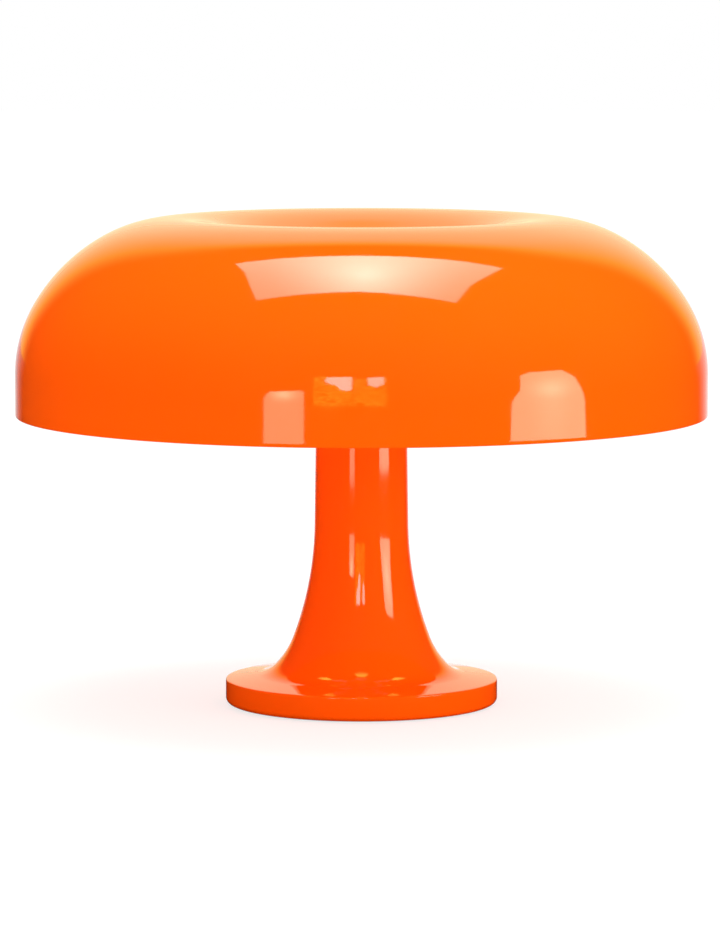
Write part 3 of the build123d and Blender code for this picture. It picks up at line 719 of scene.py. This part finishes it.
# The glass's outline leaves the collar at the neck's heading, swings out to the ball and ends on the axis;
# the swing's radius is what joins the neck's radius to the ball's at the shoulder.
def glassGrid(form):
    start = form["capStart"] + form["capLength"] + form["collar"][1]
    first, last = math.radians(form["neckHeading"]), math.radians(form["shoulder"])
    swing = (form["ball"] * math.cos(last) - form["neckRadius"]) / (math.cos(first) - math.cos(last))
    steps = [(swing, form["shoulder"] - form["neckHeading"]), (form["ball"], -90 - form["shoulder"])]
    outer = pathPoints((start, form["neckRadius"]), form["neckHeading"], steps, form["outerStep"])
    within = aside((start, form["neckRadius"]), form["neckHeading"], -form["glass"])
    inner = pathPoints(within, form["neckHeading"], beside(steps, -form["glass"]), form["innerStep"])
    outer[-1, 1] = inner[-1, 1] = 0
    low = start - form["collar"][3] + form["neckSink"]
    neck = softCorners([inner[0], (low, form["neckRadius"] - form["glass"]), (low, form["neckRadius"]),
                        outer[0]], form["neckEdge"], 4)
    return turnedX(np.r_[inner[::-1], neck[1:-1], outer], form["around"])


# The button's disc, and the insulator's cone with a lip round the button, both turned about X.
def tipGrids(form):
    (button, height, edge), (narrow, wide, insulator) = form["button"], form["insulator"]
    seat, lip = form["seat"], form["lip"]
    low = seat + height
    sunk = low + form["buttonSink"]
    disc = softCorners([(seat, 0), (seat, button), (sunk, button), (sunk, 0)], edge, 6)
    cone = softCorners([(low, 0), (low, button + lip), (low + lip, narrow), (low + insulator, wide),
                        (low + insulator, 0)], form["lipEdge"], 5)
    return turnedX(disc, form["buttonAround"]), turnedX(cone, form["insulatorAround"])


holder, shell = holderGrid(holderForm), threadShellGrid(threadForm)
cap, glass, (disc, cone) = capGrid(bulbForm, threadForm), glassGrid(bulbForm), tipGrids(bulbForm)
for k in range(holderCount):
    n = k + 1
    for name, grid, closed, kind, body, slot, node in (
            ("holder", holder, False, "white urea", "lamp_body", "holder_plastic", f"lampholder_{n}"),
            ("threadShell", shell, True, "brass", "lamp_body", "shell_brass", f"thread_shell_{n}"),
            ("bulbCap", cap, False, "nickel", f"bulb_{n}", "cap_metal", f"bulb_cap_{n}"),
            ("bulbGlass", glass, False, "opal glass", f"bulb_{n}", "opal_glass", f"bulb_glass_{n}"),
            ("bulbButton", disc, False, "solder", f"bulb_{n}", "tip_metal", f"bulb_tip_{n}"),
            ("bulbInsulator", cone, False, "black glass", f"bulb_{n}", "tip_metal", f"bulb_tip_{n}")):
        piece = surfacePiece(f"{name}{n}", [(atHolder(grid, k), True, closed)], finishes[kind])
        finishPiece(piece, body, [node])
print("lampholders and bulbs made")


# Solids that are seen as they are; the pieces above stand for the others.
nodeFinish = {
    "base_cover": "black powder", "cover_screws": "zinc", "ballast": "cast iron", "stem_nipple": "zinc",
    "stem_washers": "zinc", "stem_nuts": "zinc", "hub_cap": "white urea", "cap_screws": "zinc",
    "terminal_block": "block polyamide", "terminal_screws": "zinc", "block_screw": "zinc",
    "holder_leads": "sleeve", "holder_nuts": "zinc", "holder_nipple": "zinc", "center_contact": "bronze",
}
for name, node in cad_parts.items():
    kind = nodeFinish.get(name) or nodeFinish.get(name.rsplit("_", 1)[0])
    if kind:
        node.data.materials.clear()
        node.data.materials.append(finishes[kind])
print("solids finished")


studio = {
    "floorRadius": 9.0,
    "floorGap": 0.1 * mm,
    "floorSteps": 64,
    "floorSeen": "#8C8C8C",  # what takes the shadow
    "floorShine": 0.72,  # and what lifts it to white
    "floorCast": "#C4C4C4",  # what the floor gives back to the lamp
    "floorDark": "#181818",  # and its mirror in the gloss, off and on the white sheet
    "floorPale": "#D8D8D8",
    "level": 0.69,  # soft light from every side
    "slant": (0.31, 0.0, 0.84),  # and what it gains towards the right and overhead
    "sheetSides": (0.14, 0.74),  # the white sheet behind the lamp fades between these widths
    "sheetTop": (0.84, 1.46),  # and between these heights, both as shares of its distance
    "sheetTurn": 0.05,  # the sheet's middle lies this far to the right
    "sheetGlow": (0.98, 1.61),  # its glow on the level, and at its full height
    "sheetHeight": 1.5,
    "sheetStops": [(0, "#1C1C1C"), (0.35, "#F8D060"), (1, "#FFFFD0")],  # from dark room to white sheet
}
cameraPlace = {"distance": 2.247, "height": 0.3435, "down": 5.89, "lens": 189, "aside": -0.0007}

# Softboxes and windows round the lamp, each seen from its aim, the place on the shade that mirrors it. A
# corner is (azimuth from +Y towards +X, elevation) in degrees at a distance; the flat one overhead has
# corners (x, y) at its height.
panels = {
    "overheadBox": {"glow": 4.3, "hotSpot": 10.5, "spotSize": 0.475, "spotAt": (0.015, 0.06),
                    "spotStretch": (1, 0.5, 1), "colour": "#FFF4E6", "distance": 1.3, "flat": True,
                    "aim": (0, -0.10, 0.21),
                    "corners": [(-0.41, 0.43), (0, 0.42), (0.485, 0.40), (0.433, 0.03), (0.443, -0.24),
                                (0, -0.175), (-0.48, -0.18), (-0.41, 0.25)]},
    "rightWindow": {"glow": 7.0, "hotSpot": 7.0, "spotSize": 0.25, "spotAt": (116, 2), "colour": "#FFE9C8",
                    "distance": 0.72, "aim": (0.087, -0.133, 0.16),
                    "corners": [(133, -9.2), (132, -5), (129, 2), (128, 13), (124, 15), (110, 14),
                                (105.5, 8.5), (102, -4), (100.5, -9.2)]},
    "leftStrip": {"glow": 5.2, "hotSpot": 9.0, "spotSize": 0.14, "spotAt": (-155, 1.5), "colour": "#FFE3BC",
                  "distance": 0.72, "aim": (-0.036, -0.156, 0.16),
                  "corners": [(-147.5, -9.8), (-148, -1), (-150, 3.7), (-161, 5), (-162.3, 4),
                              (-162.3, -9.8)]},
    "skyLeft": {"glow": 9.0, "hotSpot": 0.0, "spotSize": 0.2, "spotAt": (-173, 12), "colour": "#FFEFEA",
                "distance": 0.98, "aim": (0, -0.16, 0.16),
                "corners": [(-168, 16), (-176.6, 16.5), (-176.6, 6), (-172, 4), (-170, 9), (-167, 13)]},
    "skyRight": {"glow": 8.0, "hotSpot": 0.0, "spotSize": 0.2, "spotAt": (174, 13), "colour": "#FFEFEA",
                 "distance": 0.98, "aim": (0, -0.16, 0.16),
                 "corners": [(178, 15.8), (172.2, 16.5), (172.0, 11), (175, 8), (177.5, 10)]},
    "gardenLeft": {"leaves": 4.2, "distance": 1.0, "aim": (0, -0.16, 0.16),
                   "corners": [(-163.4, 16.5), (-176.8, 16.5), (-176.8, -5.1), (-163.4, -5.1)]},
    "gardenRight": {"leaves": 3.6, "distance": 1.0, "aim": (0, -0.16, 0.16),
                    "corners": [(182.9, 14), (171.2, 16.5), (171.2, -5.1), (182.9, -5.1)]},
}


def panelPlace(form, corner):  # a corner's place in the room
    aim, corner = np.array(form["aim"], float), np.atleast_2d(np.array(corner, float))
    if form.get("flat"):
        return np.c_[corner, np.ones(len(corner))] * form["distance"] + aim
    azimuth, elevation = np.radians(corner[:, 0]), np.radians(corner[:, 1])
    return np.stack([np.sin(azimuth) * np.cos(elevation), np.cos(azimuth) * np.cos(elevation),
                     np.sin(elevation)], 1) * form["distance"] + aim


# Lit diffuser: an even glow with a brighter spot where its lamp is, which falls with distance as
# (1 - d / R) squared.
def glowMaterial(name, form):
    material, tree, output = emptyMaterial(name)
    place = addNode(tree, "TexCoord").outputs["Object"]
    offset = addNode(tree, "VectorMath", {0: place, 1: panelPlace(form, form["spotAt"])[0]},
                     operation="SUBTRACT")
    reach = addNode(tree, "VectorMath", {0: offset.outputs[0], 1: form.get("spotStretch", (1, 1, 1))},
                    operation="MULTIPLY")
    away = addNode(tree, "VectorMath", {0: reach.outputs[0]}, operation="LENGTH")
    near = addNode(tree, "MapRange", {"Value": away.outputs["Value"], "From Min": 0.0,
                                      "From Max": form["spotSize"] * form["distance"],
                                      "To Min": 1.0, "To Max": 0.0}).outputs["Result"]
    spot = addNode(tree, "Math", {0: near, 1: near}, operation="MULTIPLY").outputs[0]
    glow = addNode(tree, "Math", {0: spot, 1: form["hotSpot"], 2: form["glow"]}, operation="MULTIPLY_ADD")
    shine = addNode(tree, "Emission", {"Color": toLinear(form["colour"]), "Strength": glow.outputs[0]})
    tree.links.new(shine.outputs["Emission"], output.inputs["Surface"])
    return material


leafLook = {
    "size": 38 * mm,
    "flatter": 2.2,  # leaves are this many times lower than they are wide
    "gap": (0.38, "#2A1A00"),  # up to this level of the noise
    "leaf": (0.62, "#FFE440"),  # and from this one
}


# Garden seen through a window pane: sunlit yellow leaves between dark gaps.
def leafMaterial(name, form):
    material, tree, output = emptyMaterial(name)
    place = addNode(tree, "TexCoord").outputs["Object"]
    flat = addNode(tree, "VectorMath", {0: place, 1: (1, 1, leafLook["flatter"])}, operation="MULTIPLY")
    leaves = addNode(tree, "TexNoise", {"Vector": flat.outputs[0], "Scale": 1 / leafLook["size"],
                                        "Detail": 3.0, "Roughness": 0.65})
    tint = addNode(tree, "ValToRGB", {"Fac": leaves.outputs["Fac"]})
    for stop, (share, colour) in zip(tint.color_ramp.elements, (leafLook["gap"], leafLook["leaf"])):
        stop.position, stop.color = share, toLinear(colour)
    shine = addNode(tree, "Emission", {"Color": tint.outputs["Color"], "Strength": form["leaves"]})
    tree.links.new(shine.outputs["Emission"], output.inputs["Surface"])
    return material


def addPanel(name, form):  # hidden from the camera, shadows and transmission; seen in the gloss and lighting the lamp
    points = panelPlace(form, form["corners"])
    mesh = bpy.data.meshes.new(name)
    mesh.from_pydata(points, [], [list(range(len(points)))])
    mesh.materials.append(leafMaterial(name, form) if "leaves" in form else glowMaterial(name, form))
    panel = bpy.data.objects.new(name, mesh)
    scene.collection.objects.link(panel)
    panel.visible_camera = panel.visible_shadow = panel.visible_transmission = False


# How much of the white sheet lies in a direction or at a place: 1 where x/y is small, falling by a smooth
# step to 0 at the sides and everywhere in front of the lamp.
def sheetAcross(tree, parts):
    ahead = addNode(tree, "Math", {0: parts.outputs["Y"], 1: 0.01}, operation="MAXIMUM").outputs[0]
    across = addNode(tree, "Math", {0: parts.outputs["X"], 1: ahead}, operation="DIVIDE").outputs[0]
    offset = addNode(tree, "Math", {0: across, 1: studio["sheetTurn"]}, operation="SUBTRACT").outputs[0]
    wide = addNode(tree, "Math", {0: offset}, operation="ABSOLUTE").outputs[0]
    sides = addNode(tree, "MapRange", {"Value": wide, "From Min": studio["sheetSides"][0],
                                       "From Max": studio["sheetSides"][1], "To Min": 1.0, "To Max": 0.0},
                    interpolation_type="SMOOTHSTEP").outputs["Result"]
    behind = addNode(tree, "Math", {0: parts.outputs["Y"], 1: 0.0}, operation="GREATER_THAN").outputs[0]
    return addNode(tree, "Math", {0: sides, 1: behind}, operation="MULTIPLY").outputs[0]


# The floor is white to the camera and takes the lamp's shadow, gives the lamp plain light from below, and is
# white to the gloss only where the sheet lies, behind the lamp.
def addFloor():
    steps, radius = studio["floorSteps"], studio["floorRadius"]
    angle = np.linspace(0, 2 * math.pi, steps, endpoint=False)
    height = np.full(steps, -studio["floorGap"])
    points = np.stack([radius * np.cos(angle), radius * np.sin(angle), height], 1)
    mesh = bpy.data.meshes.new("floor")
    mesh.from_pydata(points, [], [list(range(steps))])
    material, tree, output = emptyMaterial("white floor")
    rays = addNode(tree, "LightPath")
    place = addNode(tree, "SeparateXYZ", {"Vector": addNode(tree, "TexCoord").outputs["Object"]})
    mirrored = addNode(tree, "Mix", {"Factor": sheetAcross(tree, place), "A": toLinear(studio["floorDark"]),
                                     "B": toLinear(studio["floorPale"])}, data_type="RGBA")
    spread = addNode(tree, "Mix", {"Factor": rays.outputs["Is Glossy Ray"],
                                   "A": toLinear(studio["floorCast"]), "B": mirrored.outputs["Result"]},
                     data_type="RGBA")
    matt = addNode(tree, "BsdfDiffuse", {"Color": spread.outputs["Result"]})
    seenMatt = addNode(tree, "BsdfDiffuse", {"Color": toLinear(studio["floorSeen"])})
    shine = addNode(tree, "Emission", {"Color": toLinear("#FFFFFF"), "Strength": studio["floorShine"]})
    white = addNode(tree, "AddShader", {0: seenMatt.outputs["BSDF"], 1: shine.outputs["Emission"]})
    shown = addNode(tree, "Math", {0: rays.outputs["Is Camera Ray"], 1: rays.outputs["Is Transmission Ray"]},
                    operation="MAXIMUM")
    seen = addNode(tree, "MixShader", {0: shown.outputs[0], 1: matt.outputs["BSDF"], 2: white.outputs[0]})
    tree.links.new(seen.outputs[0], output.inputs["Surface"])
    mesh.materials.append(material)
    floor = bpy.data.objects.new("floor", mesh)
    scene.collection.objects.link(floor)


# Directions (x, y, z) meet the sheet behind the lamp where x/y and z/y are small, and its glow there is the
# product of two smooth steps, one across and one upwards. The rest of the room is dark to the gloss, and
# gives the lamp soft light that grows along the slant.
def addWorld():
    world = bpy.data.worlds.new("soft studio")
    scene.world = world
    world.use_nodes = True
    tree = world.node_tree
    tree.nodes.clear()
    output = addNode(tree, "OutputWorld")
    rays = addNode(tree, "LightPath")
    direction = addNode(tree, "TexCoord").outputs["Generated"]
    way = addNode(tree, "SeparateXYZ", {"Vector": direction})
    ahead = addNode(tree, "Math", {0: way.outputs["Y"], 1: 0.01}, operation="MAXIMUM").outputs[0]
    up = addNode(tree, "Math", {0: way.outputs["Z"], 1: ahead}, operation="DIVIDE").outputs[0]
    low, high = studio["sheetTop"]
    top = addNode(tree, "MapRange", {"Value": up, "From Min": low, "From Max": high, "To Min": 1.0,
                                     "To Max": 0.0}, interpolation_type="SMOOTHSTEP").outputs["Result"]
    share = addNode(tree, "Math", {0: sheetAcross(tree, way), 1: top}, operation="MULTIPLY").outputs[0]
    tint = addNode(tree, "ValToRGB", {"Fac": share})
    first, *others = studio["sheetStops"]
    tint.color_ramp.elements[0].color = toLinear(first[1])
    tint.color_ramp.elements.remove(tint.color_ramp.elements[1])
    for position, colour in others:
        tint.color_ramp.elements.new(position).color = toLinear(colour)
    onLevel, atTop = studio["sheetGlow"]
    glow = addNode(tree, "MapRange", {"Value": up, "From Min": 0.0, "From Max": studio["sheetHeight"],
                                      "To Min": onLevel, "To Max": atTop}).outputs["Result"]
    sheet = addNode(tree, "Background", {"Color": tint.outputs["Color"], "Strength": glow})
    slant = addNode(tree, "VectorMath", {0: direction, 1: studio["slant"]}, operation="DOT_PRODUCT")
    even = addNode(tree, "Math", {0: slant.outputs["Value"], 1: studio["level"]}, operation="ADD")
    soft = addNode(tree, "Background", {"Color": toLinear("#FFFFFF"), "Strength": even.outputs[0]})
    unseen = addNode(tree, "MixShader", {0: rays.outputs["Is Glossy Ray"], 1: soft.outputs[0],
                                         2: sheet.outputs[0]})
    white = addNode(tree, "Background", {"Color": toLinear("#FFFFFF"), "Strength": 1.0})
    shown = addNode(tree, "Math", {0: rays.outputs["Is Camera Ray"], 1: rays.outputs["Is Transmission Ray"]},
                    operation="MAXIMUM")
    seen = addNode(tree, "MixShader", {0: shown.outputs[0], 1: unseen.outputs[0], 2: white.outputs[0]})
    tree.links.new(seen.outputs[0], output.inputs["Surface"])


def addCamera():
    data = bpy.data.cameras.new("camera")
    data.lens = cameraPlace["lens"]
    data.clip_end = 50
    camera = bpy.data.objects.new("camera", data)
    camera.location = (cameraPlace["aside"], -cameraPlace["distance"], cameraPlace["height"])
    camera.rotation_euler = (math.radians(90 - cameraPlace["down"]), 0, 0)
    scene.collection.objects.link(camera)
    scene.camera = camera


for panelName, panelForm in panels.items():
    addPanel(panelName, panelForm)
addFloor()
addWorld()
addCamera()
scene.view_settings.view_transform = "Standard"
print("studio made")
